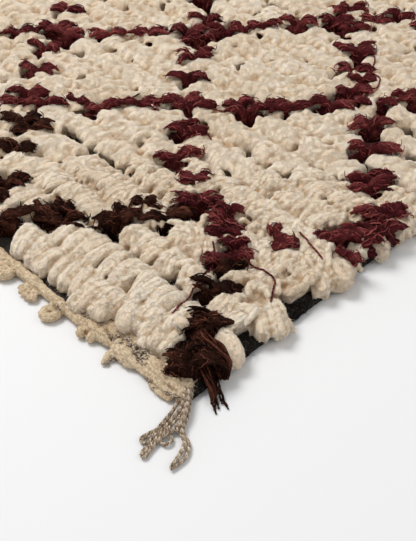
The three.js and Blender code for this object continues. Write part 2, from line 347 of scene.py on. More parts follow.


# Wool with fibres along the yarn. dull, plain and bright are its colours from the darkest to the lightest.
# Towards the roots of the locks the finish paints shade in a darker tint, and its grain specks take the same
# tint.
def woolFinish(name, look):
    look = {**wool, **look}
    material = bpy.data.materials.new(name)
    material.use_nodes = True
    tree = material.node_tree
    shader = tree.nodes["Principled BSDF"]

    def combined(operation, first, second):
        return addNode(tree, "ShaderNodeMath", {0: first, 1: second}, operation=operation).outputs[0]

    def ranged(value, low, high, start, end):
        return addNode(tree, "ShaderNodeMapRange", {0: value, 1: low, 2: high, 3: start, 4: end}).outputs[0]

    def noise(place, scale, detail, roughness=0.5, distortion=0.0):
        inputs = {"Vector": place, "Scale": scale, "Detail": detail, "Roughness": roughness,
                  "Distortion": distortion}
        return addNode(tree, "ShaderNodeTexNoise", inputs).outputs[0]

    def tinted(color, tint, factor):
        inputs = {0: factor, 6: color, 7: (*tint, 1)}
        return addNode(tree, "ShaderNodeMix", inputs, data_type="RGBA", blend_type="MULTIPLY").outputs[2]

    yarn = addNode(tree, "ShaderNodeAttribute", attribute_name="yarn").outputs["Vector"]
    shade = addNode(tree, "ShaderNodeAttribute", attribute_name="shade").outputs["Vector"]
    tone, rootShadeFade, creaseShade = addNode(tree, "ShaderNodeSeparateXYZ", {0: shade}).outputs
    place = addNode(tree, "ShaderNodeNewGeometry").outputs["Position"]
    stretched = addNode(tree, "ShaderNodeVectorMath", {0: yarn, 1: look["fibre"]}, operation="MULTIPLY")
    fibres = noise(stretched.outputs[0], 1, 4, 0.65, 0.6)
    curls = noise(place, look["curl"], 3, 0.55, 0.8)
    stains = noise(place, 22, 2)

    # The colour runs with the yarn's own tone, broad stains and the fibres, a third each.
    tone = combined("ADD", combined("ADD", tone, stains), ranged(fibres, 0.32, 0.68, 0.0, 1.0))
    ramp = addNode(tree, "ShaderNodeValToRGB")
    tree.links.new(combined("MULTIPLY", tone, 1 / 3), ramp.inputs[0])
    ramp.color_ramp.elements[0].position = 0.28
    ramp.color_ramp.elements[0].color = (*look["dull"], 1)
    ramp.color_ramp.elements[1].position = 0.72
    ramp.color_ramp.elements[1].color = (*look["bright"], 1)
    ramp.color_ramp.elements.new(0.5).color = (*look["plain"], 1)
    # Painted shade: darker towards the root of each lock, where shade falls under the pile.
    rootShade = ranged(rootShadeFade, 0.0, 0.5, look["rootShadeStrength"], 0.0)
    specks = ranged(noise(place, look["grain"], 2), 0.38, 0.6, look["grainDark"], 0.0)
    color = tinted(ramp.outputs[0], look["rootShadeAndSpeckTint"], rootShade)
    # Painted shade: darker in the creases of the skin, where shade falls between the locks; then the grain's
    # own specks.
    color = tinted(tinted(color, look["creaseShadeTint"], creaseShade), look["rootShadeAndSpeckTint"], specks)
    tree.links.new(color, shader.inputs["Base Color"])

    height = combined("ADD", combined("MULTIPLY", fibres, look["fibreShare"]), curls)
    bump = addNode(tree, "ShaderNodeBump", {"Height": height, "Strength": look["bump"],
                                            "Distance": look["relief"] * mm})
    tree.links.new(bump.outputs[0], shader.inputs["Normal"])
    surface = {"Roughness": look["roughness"], "Specular IOR Level": look["specular"],
               "Sheen Weight": look["sheen"], "Sheen Roughness": 0.45, "Sheen Tint": (*look["sheenTint"], 1)}
    if "glow" in look:
        surface.update({"Subsurface Weight": look["glow"], "Subsurface Radius": look["glowReach"],
                        "Subsurface Scale": 1 * mm})
    for key, value in surface.items():
        shader.inputs[key].default_value = value
    return material


# What a finish has if it doesn't say otherwise.
wool = {"grain": 900, "bump": 1.0, "fibreShare": 0.8, "roughness": 0.9, "specular": 0.1, "sheen": 0.1,
        "sheenTint": (1, 0.95, 0.85)}
creamFinish = woolFinish("creamWool", {
    "dull": (0.75, 0.60, 0.44), "plain": (0.895, 0.75, 0.58), "bright": (0.97, 0.865, 0.72),
    "rootShadeAndSpeckTint": (0.58, 0.47, 0.34), "rootShadeStrength": 0.25, "creaseShadeTint": (0.68, 0.54, 0.39),
    "fibre": (120, 700, 700), "curl": 330, "grainDark": 0.3, "relief": 1.2, "fibreShare": 1.3,
    "roughness": 1.0, "specular": 0.0, "sheen": 0.3, "sheenTint": (1, 0.93, 0.82),
    "glow": 0.4, "glowReach": (1.5, 1.1, 0.7)})
burgundyFinish = woolFinish("burgundyWool", {
    "dull": (0.04, 0.005, 0.008), "plain": (0.165, 0.017, 0.022), "bright": (0.56, 0.15, 0.13),
    "rootShadeAndSpeckTint": (0.25, 0.12, 0.12), "rootShadeStrength": 0.85, "creaseShadeTint": (0.30, 0.20, 0.20),
    "fibre": (130, 640, 640), "curl": 500, "grainDark": 0.5, "relief": 2.0, "fibreShare": 1.4,
    "roughness": 0.8, "sheen": 0.04, "sheenTint": (0.9, 0.4, 0.4)})
brownFinish = woolFinish("brownWool", {
    "dull": (0.006, 0.0012, 0.0005), "plain": (0.038, 0.011, 0.006), "bright": (0.21, 0.070, 0.042),
    "rootShadeAndSpeckTint": (0.2, 0.12, 0.1), "rootShadeStrength": 0.9, "creaseShadeTint": (0.3, 0.2, 0.2),
    "fibre": (140, 700, 700), "curl": 500, "grainDark": 0.6, "relief": 1.4, "fibreShare": 1.2,
    "roughness": 0.7, "specular": 0.07, "sheen": 0.0, "sheenTint": (0.8, 0.5, 0.4)})
goatFinish = woolFinish("goatHair", {
    "dull": (0.002, 0.0018, 0.0015), "plain": (0.011, 0.009, 0.0075), "bright": (0.20, 0.165, 0.135),
    "rootShadeAndSpeckTint": (0.3, 0.3, 0.3), "rootShadeStrength": 0.6, "creaseShadeTint": (0.3, 0.3, 0.3),
    "fibre": (400, 1500, 1500), "curl": 600, "grain": 650, "grainDark": 0.9, "relief": 2.2,
    "roughness": 0.85, "specular": 0.06, "sheen": 0.02, "sheenTint": (1, 0.95, 0.9)})
warpFinish = woolFinish("warpYarn", {
    "dull": (0.46, 0.33, 0.20), "plain": (0.74, 0.58, 0.39), "bright": (0.90, 0.79, 0.60),
    "rootShadeAndSpeckTint": (0.40, 0.29, 0.19), "rootShadeStrength": 0.3, "creaseShadeTint": (0.40, 0.28, 0.18),
    "fibre": (300, 1100, 1100), "curl": 420, "grain": 480, "grainDark": 0.45, "relief": 1.1})
tangleFinish = woolFinish("tangledYarn", {
    "dull": (0.22, 0.15, 0.10), "plain": (0.56, 0.45, 0.33), "bright": (0.90, 0.81, 0.68),
    "rootShadeAndSpeckTint": (0.32, 0.22, 0.14), "rootShadeStrength": 0.0, "creaseShadeTint": (1, 1, 1),
    "fibre": (900, 900, 900), "curl": 600, "grainDark": 0.7, "bump": 0.8, "relief": 0.6})
# Painted shade: the ground under the pile is made nearly black, much darker than the same weave in the end
# rolls, so that the gaps between tufts look shaded.
darkShadeGroundFinish = woolFinish("groundWeaveShadeDark", {
    "dull": (0.02, 0.017, 0.015), "plain": (0.06, 0.05, 0.042), "bright": (0.16, 0.13, 0.10),
    "rootShadeAndSpeckTint": (0.5, 0.5, 0.5), "rootShadeStrength": 0.0, "creaseShadeTint": (1, 1, 1),
    "fibre": (700, 700, 700), "curl": 300, "grain": 600, "grainDark": 0.5, "bump": 0.8, "relief": 1.0,
    "fibreShare": 0.6, "specular": 0.15, "sheenTint": (1, 1, 1)})
knotFinishes = {"burgundy": burgundyFinish, "brown": brownFinish}
print("finishes made")


upward = np.array([[0.0, 0, 1]])


# An even run of places along a smooth curve through points, which are x, y, z from the front right corner.
def pathThrough(points, rings):
    points = np.array(points, float)
    ends = np.concatenate([2 * points[:1] - points[1:2], points, 2 * points[-1:] - points[-2:-1]])
    spans = []
    for n in range(len(points) - 1):
        a, b, c, d = ends[n:n + 4]
        t = np.linspace(0, 1, 12, endpoint=False)[:, None]
        cubic = 2 * b + (c - a) * t + (2 * a - 5 * b + 4 * c - d) * t * t + (3 * b - a - 3 * c + d) * t ** 3
        spans.append(0.5 * cubic)
    dense = np.concatenate(spans + [points[-1:]])
    run = np.concatenate([[0], np.cumsum(np.linalg.norm(np.diff(dense, axis=0), axis=1))])
    even = np.linspace(0, run[-1], rings)
    line = np.stack([np.interp(even, run, dense[:, n]) for n in range(3)], 1)
    return line + (halfWidth, -halfLength, 0), run[-1]


# The ways aside of a line and over it, at each of its points.
def waysAround(line):
    along = np.gradient(line, axis=0)
    along /= np.linalg.norm(along, axis=1, keepdims=True)
    side = np.cross(along, upward)
    side /= np.linalg.norm(side, axis=1, keepdims=True) + 1e-9
    return side, np.cross(side, along)


# A rope along points with round ends. radius is its half size at even steps along it.
def ropeTube(points, radius, rings=10, corners=8, rounded=0.25, flat=1):
    line = pathThrough(points, rings)[0]
    s = np.linspace(0, 1, rings)
    half = np.interp(s, np.linspace(0, 1, len(radius)), radius) * roundedEnd(s, rounded)
    half = half * np.sqrt(1 - np.clip(1 - s / 0.08, 0, 0.95) ** 2)
    return tubes(line[None], flat * half[None], half[None], upward, corners)


# A cord of plies twisted round each other.
def pliedTubes(points, ply):
    long = pathThrough(points, 3)[1]
    rings = max(6, int(long / ply["step"]))
    line = pathThrough(points, rings)[0]
    side, over = waysAround(line)
    plies = []
    for n in range(ply["count"]):
        turn = 2 * np.pi * (np.linspace(0, long / ply["pitch"], rings) + n / ply["count"])
        plies.append(line + ply["round"] * (np.cos(turn)[:, None] * side + np.sin(turn)[:, None] * over))
    half = np.full((ply["count"], rings), ply["radius"]) * roundedEnd(np.linspace(0, 1, rings), 0.05)
    return tubes(np.array(plies), half, half, np.tile(upward, (ply["count"], 1)), ply["corners"],
                 tone=np.linspace(0.1, 0.9, ply["count"]))


# Rows of knots, counted from the front end: how far rows and knots are apart, how far a row stops short of
# the sides, and how far its knots stray along and across it.
rows = {"pitch": 36.4, "knot": 12.4, "edge": 24, "along": 2.8, "across": 2}
rowCount = round(2 * halfLength / rows["pitch"])
rowPitch = 2 * halfLength / rowCount

# The lattice: lines that fall or rise to the right, a diamond apart, seen from the front right corner.
# The first rows are brown, and on two of the lines one row less than on the others.
lattice = {"diamond": 255, "shift": -31, "lines": 12, "margin": 20, "plainStray": 13,
           "halfBand": (13.5, 10.5, 13.5), "brownRows": 4, "lessBrown": [("falling", 0), ("rising", 2)]}
# How far the weaver's lines stray from the even lattice, in mm to the right, from a first row on.
strays = [
    {"way": "falling", "line": 0, "row": 0, "by": [24, 15, 27, 46, 4, -25, -16, -21, -14, -4, 8, 11]},
    {"way": "falling", "line": 1, "row": 7, "by": [-10, -12, -4, 5, -12, -2, 6, 8, 12]},
    {"way": "falling", "line": -1, "row": 0, "by": [None, -5, -2, -4, -5, -3, 2, 12, 22]},
    {"way": "rising", "line": 1, "row": 0, "by": [-2, 2, 5, -6, None, None, 29]},
    {"way": "rising", "line": 2, "row": 3, "by": [-19, -20, -5, -18, -10, 0, -7, -17, -22, -29]},
    {"way": "rising", "line": 3, "row": 6, "by": [19, 23, 25, 22, 14, 6, -4, -14, -21, -24]},
]


def strayOf(way, line, row):
    for known in strays:
        if known["way"] == way and known["line"] == line and 0 <= row - known["row"] < len(known["by"]):
            return known["by"][row - known["row"]]
    return lattice["plainStray"] * float(patches(row * 40.0, line * 131.0 + len(way) * 17, 100, 3))


# Knots that the photo shows beside those lines: x and y from the front right corner, turn and size.
seenKnots = {
    "burgundy": [
        (-121, 161, 15, 0.95), (-108, 147, 30, 0.75), (-31, 224, 50, 0.9), (-9, 256, 50, 0.9),
        (-13, 232, 20, 0.8), (-8, 204, 0, 0.4), (-188, 187, 45, 0.7), (-245, 310, 50, 0.8),
        (-211, 338, 50, 0.8), (-374, 191, 20, 0.6), (-222, 486, 30, 0.8), (-185, 446, 40, 0.7),
        (-84, 357, 40, 0.7), (-58, 298, 50, 0.9), (-241, 597, 20, 0.8), (-128, 450, 50, 0.6),
        (-257, 244, 60, 0.5), (-131, 178, 30, 0.7), (-72, 181, 5, 0.55), (-58, 175, 70, 0.55),
        (-91, 146, 60, 0.6), (-34, 214, 50, 0.7),
    ],
    "brown": [
        (-254, 52, 45, 0.85), (-301, 27, 45, 0.7), (-242, 67, 20, 0.6), (-199, 91, 75, 0.8),
        (-193, 126, 30, 0.5), (-367, 125, 60, 1.0), (-73, 122, 50, 0.6),
    ],
}


# How fine the wool is made: fine and middling in the stretch that the camera sees, and coarse elsewhere.
views = {
    "corners": [(40, -60), (-250, -60), (-660, 230), (-660, 330), (-270, 690), (40, 320)],
    "fineWithin": 760,
}
levels = ["fine", "middling", "coarse"]


def levelOf(x, y):
    seen = np.ones(np.shape(x), bool)
    for (ax, ay), (bx, by) in zip(views["corners"], views["corners"][1:] + views["corners"][:1]):
        seen &= (bx - ax) * (y - ay) - (by - ay) * (x - ax) <= 0
    away = np.hypot(x - camera["right"], y + camera["front"])
    return np.where(seen, np.where(away < views["fineWithin"], 0, 1), 2)


# Where coloured knots stand: on the lines, and where the photo shows them besides.
def colouredKnots():
    knots = []
    for row in range(rowCount):
        y = rowPitch * (row + 0.5)
        for line in range(-lattice["lines"], lattice["lines"] + 1):
            ways = {"falling": lattice["diamond"] * line - y,
                    "rising": y + lattice["shift"] - lattice["diamond"] * line}
            for way, x in ways.items():
                stray = strayOf(way, line, row)
                if stray is None or not -2 * halfWidth + 4 < x + stray < -2:
                    continue
                x = float(np.clip(x + stray, -2 * halfWidth + lattice["margin"], -lattice["margin"]))
                brown = row < lattice["brownRows"] - ((way, line) in lattice["lessBrown"])
                turn = leaf["plainTurn"] if way == "falling" and levelOf(x, y) == 2 else leaf["turn"]
                knots.append({"x": x, "y": y, "row": row, "turn": turn, "size": 1,
                              "color": "brown" if brown else "burgundy"})
    for color, seen in seenKnots.items():
        for x, y, turn, size in seen:
            row = int(y / rowPitch)
            knots.append({"x": x, "y": y, "row": row, "turn": turn, "size": size, "color": color})
    return knots


# The clump of a coloured knot: a leaf that lies on the pile, its locks leaning both ways along it.
leaf = {
    "turn": 45, "plainTurn": 135, "halfLength": 26, "locks": 11, "radius": 2.9,
    "top": (20, 26), "tip": (20, 25), "highest": 30, "bedLength": 19, "bedHeight": 9.3,
    "fine": {"aside": 7.5, "bed": 8.5, "lift": 0.5, "cell": 1.4, "triangles": 740},
    "middling": {"aside": 4.5, "bed": 6.5, "lift": 1.8, "cell": 1.4, "triangles": 680},
    "coarse": {"aside": 10, "bed": 15, "lift": 0, "cell": 2.6, "triangles": 210},
}
knots = colouredKnots()
print(len(knots), "coloured knots")

# Cream tufts. In the front rows a tuft is a thick soft finger that lies over towards the front end.
# Further in, the pile is wild: a tuft's locks part and curl, and their round ends stand side by side.
cream = {"reach": 42, "frontReach": 37, "top": 19.5, "tip": 18, "highest": 25.5, "locks": 11, "radius": 2.8}
melt = {
    "fine": {"bed": (18, 22), "cell": 1.35, "curls": ((0.4, 6.2), (0.32, 3.4)),
             "most": 190000, "fuzz": 10000},
    "middling": {"bed": (20.5, 23.5), "cell": 1.75, "curls": ((0.32, 6.8), (0.32, 3.6)),
                 "most": 166000, "fuzz": 5000},
    "coarse": {"bed": (17.5, 21.5), "cell": 4.6, "curls": ((0.8, 14),), "most": 96000, "fuzz": 0},
}
fuzz = {"above": 4, "facing": -0.4, "spread": 0.75, "length": (2.5, 6.5), "radius": 0.2}
# Places where the tufts of a row stop short and the dark ground shows in front of them.
partings = [
    {"row": 2, "from": -190, "to": -80, "pull": 12},
    {"row": 4, "from": -350, "to": -245, "pull": 14},
]
# The front row draws back towards the front right corner, where the ground weave lies bare.
bareCorner = {"from": -135, "to": -42, "pull": 13}
# Groups of tufts that hang over the binding where the photo shows it: their middles and half lengths.
edgeGroups = [(38, 0), (113, 10), (193, 17), (249, 8), (301, 20), (366, 17)]


# Where the cream tufts stand, and how far each stops short.
def creamPlaces():
    dice = np.random.default_rng(11)
    places = []
    for row in range(rowCount):
        coloured = [(k["x"], lattice["halfBand"][int(levelOf(k["x"], k["y"]))] * k["size"] ** 2)
                    for k in knots if k["row"] == row and k["size"] > 0.7]
        count = int((2 * halfWidth - 2 * rows["edge"]) / rows["knot"])
        for n in range(count + 1):
            x = -rows["edge"] - n * rows["knot"] - (row % 2) * rows["knot"] / 2
            x += dice.uniform(-rows["along"], rows["along"])
            if x < -2 * halfWidth + rows["edge"]:
                continue
            y = rowPitch * (row + 1) - 2 + dice.uniform(-rows["across"], rows["across"])
            if any(abs(x - c) < half for c, half in coloured) or (row == 0 and x > bareCorner["to"]):
                continue
            pull = max([p["pull"] for p in partings if p["row"] == row and p["from"] < x < p["to"]] + [0])
            pull *= 1 + 0.45 * patches(x, y, 17, 21)
            if row == 0:
                pull = bareCorner["pull"] * float(smooth((x - bareCorner["from"]) / 35))
            if row > 4 and patches(x, y, 95, 15) > 0.6:
                pull = 12
            places.append((x, y, pull))
    return np.array(places)


# Tufts that hang out over the side bindings, in groups of two rows with the dark binding between.
def edgePlaces():
    dice = np.random.default_rng(12)
    places = []
    for side in (1, -1):
        for group in range(rowCount // 2):
            middle = 2 * rowPitch * (group + 0.5) + dice.uniform(-5, 5)
            spread = dice.uniform(15, 24)
            if side > 0 and group < len(edgeGroups):
                middle, spread = edgeGroups[group]
            count = round(2 * spread / 9) + 1 if spread else 0
            for n in range(count):
                share = 2 * n / (count - 1) - 1
                y = middle + (spread - 5) * share + dice.uniform(-2, 2)
                x = -24 + dice.uniform(-4, 3)
                turn = -31 + 14 * share + dice.uniform(-10, 10)
                if side < 0:
                    x = -2 * halfWidth - x
                    turn = -180 - turn
                places.append((x, y, turn))
    return np.array(places)


# Lines that rise from x, y, lean over along turn, and end reach away at height tip. sway moves them aside.
def leaningLines(x, y, turn, reach, top, tip, s, sway, lift):
    n = len(x)
    reach, top, tip = reach[:, None], top[:, None], tip[:, None]
    out = (-0.10 * 3 * (1 - s) ** 2 * s + 0.42 * 3 * (1 - s) * s * s + s ** 3) * reach
    height = 3 * (1 - s) ** 3 + 3 * (1 - s) ** 2 * s * top * 1.12
    height = height + 3 * (1 - s) * s * s * top * 1.3 + s ** 3 * tip + lift
    heading = np.radians(turn)
    ahead = np.stack([np.cos(heading), np.sin(heading), np.zeros(n)], 1)
    side = leftOf(heading)
    root = np.stack([x + halfWidth, y - halfLength, np.zeros(n)], 1)
    lines = root[:, None] + ahead[:, None] * out[..., None] + side[:, None] * (sway + 0 * out)[..., None]
    lines[..., 2] += height
    return lines, side


# How full a tube is as it rounds off over its last share, and stations that lie closer together there.
def roundedEnd(s, share):
    return np.sqrt(1 - np.clip((s - 1 + share) / (share * 1.01), 0, 0.99) ** 2)


def stationsTo(rings, share):
    straight = np.linspace(0, 1 - share, rings - 4)
    bend = 1 - share + share * np.sin(np.linspace(0, 1, 5)[1:] * np.pi / 2 * 0.98)
    return np.concatenate([straight, bend])[None]


# The locks of each tuft. wild goes from 0, locks side by side in one finger, to 1, locks apart and curled.
def lockTubes(x, y, turn, reach, top, tip, wild, fine, dice):
    locks, rings, corners = (cream["locks"], 16, 7) if fine else (3, 8, 6)
    each = lambda values: np.repeat(values, locks)
    n = len(x) * locks
    apart, number = each(wild), np.tile(np.arange(locks), len(x))
    loose = apart[:, None]
    order = (number + dice.random(n)) / locks
    s = stationsTo(rings, 0.22)
    ring = (2 * np.pi * number / locks + each(dice.uniform(0, 6.28, len(x))))[:, None]
    ring = ring + each(dice.uniform(-1.4, 1.4, len(x)))[:, None] * s
    plump = each(dice.uniform(0.75, 1.3, len(x)))[:, None]
    spread = (2.7 + 1.1 * loose) * plump * (0.4 + 0.6 * smooth(s / 0.4)) * dice.uniform(0.4, 1.2, (n, 1))
    crimp = (0.3 + 0.6 * loose) * smooth(s / 0.3)
    beat = waveAlong(s, n, 1.1, 2.3, dice)
    sway = 1.25 * spread * np.cos(ring) + crimp * np.cos(beat)
    sway = sway + (apart * (2 * (number % 2) - 1) * dice.uniform(2, 4.5, n))[:, None]
    lift = (spread * np.sin(ring) + 0.8 * crimp * np.sin(beat)) * (1 - 0.75 * loose)
    # A lock that stands apart has its foot further out, and leans less.
    long = each(reach)
    foot = apart * order * np.maximum(long - 15, 0)
    heading = np.radians(each(turn))
    long = long * (1 - apart) + apart * 14 * dice.uniform(0.6, 1.3, n)
    footX = each(x) + np.cos(heading) * foot + dice.uniform(-1, 1, n)
    footY = each(y) + np.sin(heading) * foot + dice.uniform(-1, 1, n)
    lean = each(turn) + dice.normal(0, 30, n) * apart
    long = long * (1 + dice.normal(0, 0.03, n))
    crown = each(top) * (1 - 0.02 * apart) + 0.7 * dice.normal(0, 1, n) * apart
    point = each(tip) + (2.4 - 1.6 * order) * apart + dice.uniform(-1, 1, n)
    lines, side = leaningLines(footX, footY, lean, long, crown, point, s, sway, lift)
    lines[..., 2] = np.clip(lines[..., 2], 4, cream["highest"])
    radius = cream["radius"] * dice.uniform(0.8, 1.25, n) * (1.0 if fine else 1.8)
    radius = radius[:, None] * (1 + 0.2 * (1 - loose) + 0.15 * loose * smooth((s - 0.3) / 0.4))
    radius = radius * roundedEnd(s, 0.22) * (1 + 0.08 * np.sin(waveAlong(s, n, 1.5, 3, dice)))
    tone = each(0.5 + 0.3 * patches(x, y, 60, 5) + dice.normal(0, 0.12, len(x)))
    tone = np.clip(tone + dice.normal(0, 0.1, n), 0, 1)
    return tubes(lines, radius, radius, side, corners, tone, s)


# The fill of each tuft under its locks, so that no ground shows between neighbours.
def bedTubes(x, y, turn, reach, bed):
    n = len(x)
    s = np.linspace(0, 1, 6)[None]
    heading = np.radians(turn)[:, None]
    away = s * np.maximum(reach[:, None] + 1, 6) - 3
    low, high = bed
    tall = (low + (high - low) * smooth(s / 0.6)) / 2 * np.array([0.95, 1, 1, 1, 0.98, 0.85])[None]
    tall = tall + np.zeros((n, 1))
    bedX = x[:, None] + halfWidth + np.cos(heading) * away
    bedY = y[:, None] - halfLength + np.sin(heading) * away
    wide = 8.2 * np.array([0.75, 1, 1, 1, 0.95, 0.65])[None] + np.zeros((n, 1))
    lines = np.stack([bedX, bedY, tall + 0.4], -1)
    return tubes(lines, wide, tall, leftOf(heading[:, 0]), 8, None, 0.3 + s * 0.5)


def creamBatches(level, dice):
    x, y, pull = places[levelOf(places[:, 0], places[:, 1]) == level].T
    n = len(x)
    wild = smooth((y - 62) / 90) * np.clip(0.78 + 0.3 * patches(x, y, 80, 9), 0.3, 1)
    turn = -90 + patches(x, y, 110, 7) * (10 + 22 * wild) + dice.normal(0, 8, n)
    front = y < rowPitch
    reach = (np.where(front, cream["frontReach"], cream["reach"]) - pull) * (1 + dice.normal(0, 0.08, n))
    top = cream["top"] * (1 + dice.normal(0, 0.035, n)) + 1.0 * patches(x, y, 70, 8)
    tip = cream["tip"] + dice.uniform(-1.4, 1.4, n) - 9 * front - 0.4 * pull
    fine = level < 2
    hangX, hangY, hangTurn = edges[levelOf(edges[:, 0], edges[:, 1]) == level].T
    m = len(hangX)
    hangReach = dice.uniform(29, 35, m)
    batches = [lockTubes(x, y, turn, reach, top, tip, wild, fine, dice),
               bedTubes(x, y, turn, reach, melt[levels[level]]["bed"])]
    hangTop, hangTip = dice.uniform(17, 20, m), dice.uniform(3.5, 6, m)
    hangWild = np.full(m, 0.4)
    batches.append(lockTubes(hangX, hangY, hangTurn, hangReach, hangTop, hangTip, hangWild, fine, dice))
    batches.append(bedTubes(hangX, hangY, hangTurn, hangReach, melt["fine"]["bed"]))
    return batches


# Smooth lobes of the last tufts at the front right corner: their middles and their half sizes along the way.
cornerLobes = [
    {"at": [(-68, 42, 16), (-60, 39, 22), (-52, 40, 25), (-46, 43, 23)], "half": (6, 7, 7.5, 6)},
    {"at": [(-65, 36, 14), (-56, 25, 15), (-50, 18, 11)], "half": (6, 7, 5.5)},
    {"at": [(-74, 21, 12), (-68, 13, 12), (-64, 8, 9)], "half": (5.5, 6.5, 5)},
    {"at": [(-83, 45, 16), (-75, 32, 18), (-71, 24, 13)], "half": (8, 10, 8)},
    {"at": [(-101, 32, 15), (-93, 17, 17), (-90, 6, 11)], "half": (9, 11, 8)},
    {"at": [(-124, 22, 15), (-117, 10, 16), (-114, 1, 10)], "half": (8, 9, 7)},
    {"at": [(-36, 68, 12), (-25, 62, 16), (-13, 58, 16), (-3, 54, 12), (5, 48, 8)],
     "half": (7, 8, 9, 9, 6.5)},
    {"at": [(-28, 54, 11), (-18, 49, 11), (-6, 44, 8), (2, 41, 6)], "half": (7, 8, 7, 5)},
]


skins = {}
places, edges = creamPlaces(), edgePlaces()
for level, label in enumerate(levels):
    dice = np.random.default_rng(21 + level)
    how = melt[label]
    batches = creamBatches(level, dice)
    if level == 0:
        batches += [ropeTube(lobe["at"], lobe["half"], 14, 10, 0.3) for lobe in cornerLobes]
    skins[label] = meltedSkin(batches, how["cell"], how["curls"], how["most"], crimp=0.4, soften=2)
    addPiece("creamPile_" + label, skins[label], creamFinish)
    if how["fuzz"]:
        fibres = fuzzOf(skins[label], how["fuzz"], fuzz, dice)
        addPiece("creamFibres_" + label, fibres, creamFinish)
print("cream pile made")


# The coloured knots' clumps, with strands over them.
def leafTubes(chosen, label, dice):
    locks, rings, corners, thick = (leaf["locks"], 9, 7, 1) if label != "coarse" else (7, 7, 6, 1.5)
    n = len(chosen) * locks
    each = lambda key: np.repeat([knot[key] for knot in chosen], locks)
    number, size = np.tile(np.arange(locks), len(chosen)), each("size")
    turn = each("turn") + 180 * (number % 2) + np.repeat(dice.normal(0, 9, len(chosen)), locks)
    turn = turn + dice.normal(0, 12, n)
    ahead = np.radians(turn)
    back, aside = dice.uniform(-3, 6, n), size * leaf[label]["aside"] * dice.uniform(-1, 1, n)
    x = each("x") + np.cos(ahead) * back - np.sin(ahead) * aside
    y = each("y") + np.sin(ahead) * back + np.cos(ahead) * aside
    reach = np.maximum(size * leaf["halfLength"] * dice.uniform(0.65, 1.08, n) - back, 8)
    s = stationsTo(rings, 0.35)
    beat = waveAlong(s, n, 0.6, 1.6, dice)
    top, tip = (dice.uniform(*leaf[key], n) + leaf[label]["lift"] for key in ("top", "tip"))
    sway, lift = 1.8 * s * np.cos(beat), 1.5 * s * np.sin(beat)
    lines, across = leaningLines(x, y, turn, reach, top, tip, s, sway, lift)
    lines[..., 2] = np.minimum(lines[..., 2], leaf["highest"])
    radius = leaf["radius"] * dice.uniform(0.7, 1.2, n) * thick
    radius = radius[:, None] * (1 - 0.15 * s) * roundedEnd(s, 0.35)
    tone = np.clip(0.45 + dice.normal(0, 0.25, n), 0, 1)
    return tubes(lines, radius, radius, across, corners, tone, 0.3 + 0.7 * s)


def leafBeds(chosen, half, lift):
    s = np.linspace(-1, 1, 5)[None]
    each = lambda key: np.array([knot[key] for knot in chosen])[:, None]
    turn, size = np.radians(each("turn")), each("size")
    x = each("x") + halfWidth + leaf["bedLength"] * size * s * np.cos(turn)
    y = each("y") - halfLength + leaf["bedLength"] * size * s * np.sin(turn)
    swell = np.sqrt(1 - 0.8 * s ** 4) + 0 * x
    lines = np.stack([x, y, 10 + 0.5 * lift + 0 * x], -1)
    tall = (leaf["bedHeight"] + 0.5 * lift) * swell
    tone = np.full(len(chosen), 0.2)
    return tubes(lines, half * size * swell, tall, leftOf(turn[:, 0]), 6, tone, 0.25 + 0 * s)


combed = {"above": 6, "facing": -0.3, "spread": 0.4, "length": (8, 16), "radius": 0.62, "rings": 6,
          "curl": 0.9, "rise": (0.1, 1.1), "bend": 22, "tones": (0.1, 1.3), "perKnot": 42}
for color, finish in knotFinishes.items():
    dice = np.random.default_rng(31 + (color == "brown"))
    for level, label in enumerate(levels):
        chosen = [k for k in knots if k["color"] == color and levelOf(k["x"], k["y"]) == level]
        if not chosen:
            continue
        how = leaf[label]
        batches = [leafTubes(chosen, label, dice), leafBeds(chosen, how["bed"], how["lift"])]
        curls = ((0.6, 3 * how["cell"]), (0.4, 1.7 * how["cell"]))
        skin = meltedSkin(batches, how["cell"], curls, how["triangles"] * len(chosen))
        addPiece(f"{color}Clumps_{label}", skin, finish)
        if level < 2:
            strands = skinOf([strayTubes(skin, combed["perKnot"] * len(chosen), combed, dice)])
            addPiece(f"{color}Strands_{label}", strands, finish)
print("coloured knots made")


# The woven ground that the knots are tied to, with a rib for each group of wefts and a gap to the bindings.
# Its near-black colour is painted shade for the gaps between the tufts.
ground = {"top": 4.2, "under": 0.4, "rib": 0.7, "across": 24, "perRow": 4, "gap": 0.3}


def addGround():
    columns, lines = ground["across"] + 1, rowCount * ground["perRow"] + 1
    x = np.linspace(-bindingInner + ground["gap"], bindingInner - ground["gap"], columns)
    y = np.linspace(-halfLength, halfLength, lines)
    flatX, flatY = np.meshgrid(x, y, indexing="ij")
    rib = ground["rib"] * np.where(np.arange(lines) % 2, 1, -1)[None]
    top = np.stack([flatX, flatY, ground["top"] + rib + 0 * flatX], -1)
    under = np.stack([flatX, flatY, ground["under"] + 0 * flatX], -1)
    points = np.concatenate([top.reshape(-1, 3), under.reshape(-1, 3)])
    ids, below = np.arange(columns * lines).reshape(columns, lines), columns * lines
    a, b, c, d = ids[:-1, :-1], ids[1:, :-1], ids[1:, 1:], ids[:-1, 1:]
    rim = np.concatenate([ids[:, 0], ids[-1, 1:], ids[-2::-1, -1], ids[0, -2:0:-1]])
    ahead = np.roll(rim, -1)
    faces = np.concatenate([np.stack([a, b, c, d], -1).reshape(-1, 4),
                            np.stack([a, d, c, b], -1).reshape(-1, 4) + below,
                            np.stack([ahead, rim, rim + below, ahead + below], 1)])
    skin = {"points": points, "faces": faces.ravel(), "totals": np.full(len(faces), 4),
            "yarn": points * (1, 1, 0), "shade": np.tile((0.5, 1, 0), (len(points), 1))}
    piece = addPiece("wovenGround", skin, darkShadeGroundFinish)
    piece.data.shade_flat()
    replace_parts(piece, "pile_field")
    return piece


# Goat-hair bindings: a flat felted band wrapped round and round, with loose hairs, and more of them on the
# stretch that the photo shows.
binding = {"wrap": 9, "cell": 2.3, "curls": ((0.8, 6), (0.5, 3)), "most": 20000, "hairs": 500,
           "hairLength": (3, 9), "hairRadius": 0.3, "seenHairs": 1000, "seenFrom": 40, "seenTo": 330}


